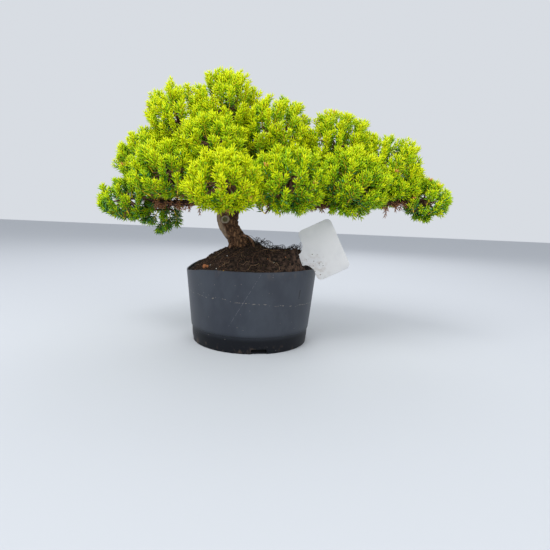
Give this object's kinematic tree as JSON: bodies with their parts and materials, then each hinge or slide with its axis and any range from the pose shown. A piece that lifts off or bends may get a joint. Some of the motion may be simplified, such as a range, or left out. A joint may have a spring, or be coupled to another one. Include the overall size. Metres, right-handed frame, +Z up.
{
  "type": "juniper bonsai in a plastic pot",
  "caption": "Juniper bonsai with a leaning trunk, long right bough and dense stubby shoots, in a cut-down black plastic pot of peat soil with a blank plant label.",
  "frame": {"origin": "centre of the pot's flat underside", "axes": "+Z up, +X to the crown's long right side as seen from the front, -Y towards the front"},
  "size_m": [0.3853, 0.2222, 0.2939],
  "materials": {
    "pot": "satin",
    "soil": "matte",
    "label": "satin",
    "trunk_bark": "matte",
    "root_bark": "matte",
    "bough_bark": "matte",
    "foliage": "matte"
  },
  "bodies": {
    "root": {"pot": "pot", "soil": "soil", "plant_label": "label", "trunk": "trunk_bark", "surface_root_right": "root_bark", "surface_root_left": "root_bark", "bough_left": "bough_bark", "bough_right": "bough_bark", "bough_front": "bough_bark", "bough_back_right": "bough_bark", "bough_back_left": "bough_bark", "bough_back_middle": "bough_bark", "bough_high_front": "bough_bark", "bough_upper_right": "bough_bark", "bough_upper_left": "bough_bark", "bough_left_front": "bough_bark", "bough_left_hanging": "bough_bark", "bough_left_shoulder": "bough_bark", "bough_right_front": "bough_bark", "bough_right_hump": "bough_bark", "bough_right_middle": "bough_bark", "bough_right_shoulder": "bough_bark", "foliage_apex": "foliage", "foliage_upper_left": "foliage", "foliage_left_shoulder": "foliage", "foliage_left_tip": "foliage", "foliage_left_hanging": "foliage", "foliage_left_front": "foliage", "foliage_high_front": "foliage", "foliage_front": "foliage", "foliage_upper_right": "foliage", "foliage_right_hump": "foliage", "foliage_right_front": "foliage", "foliage_right_middle": "foliage", "foliage_right_shoulder": "foliage", "foliage_right_tip": "foliage", "foliage_back_left": "foliage", "foliage_back_middle": "foliage", "foliage_back_right": "foliage"}
  },
  "joints": []
}
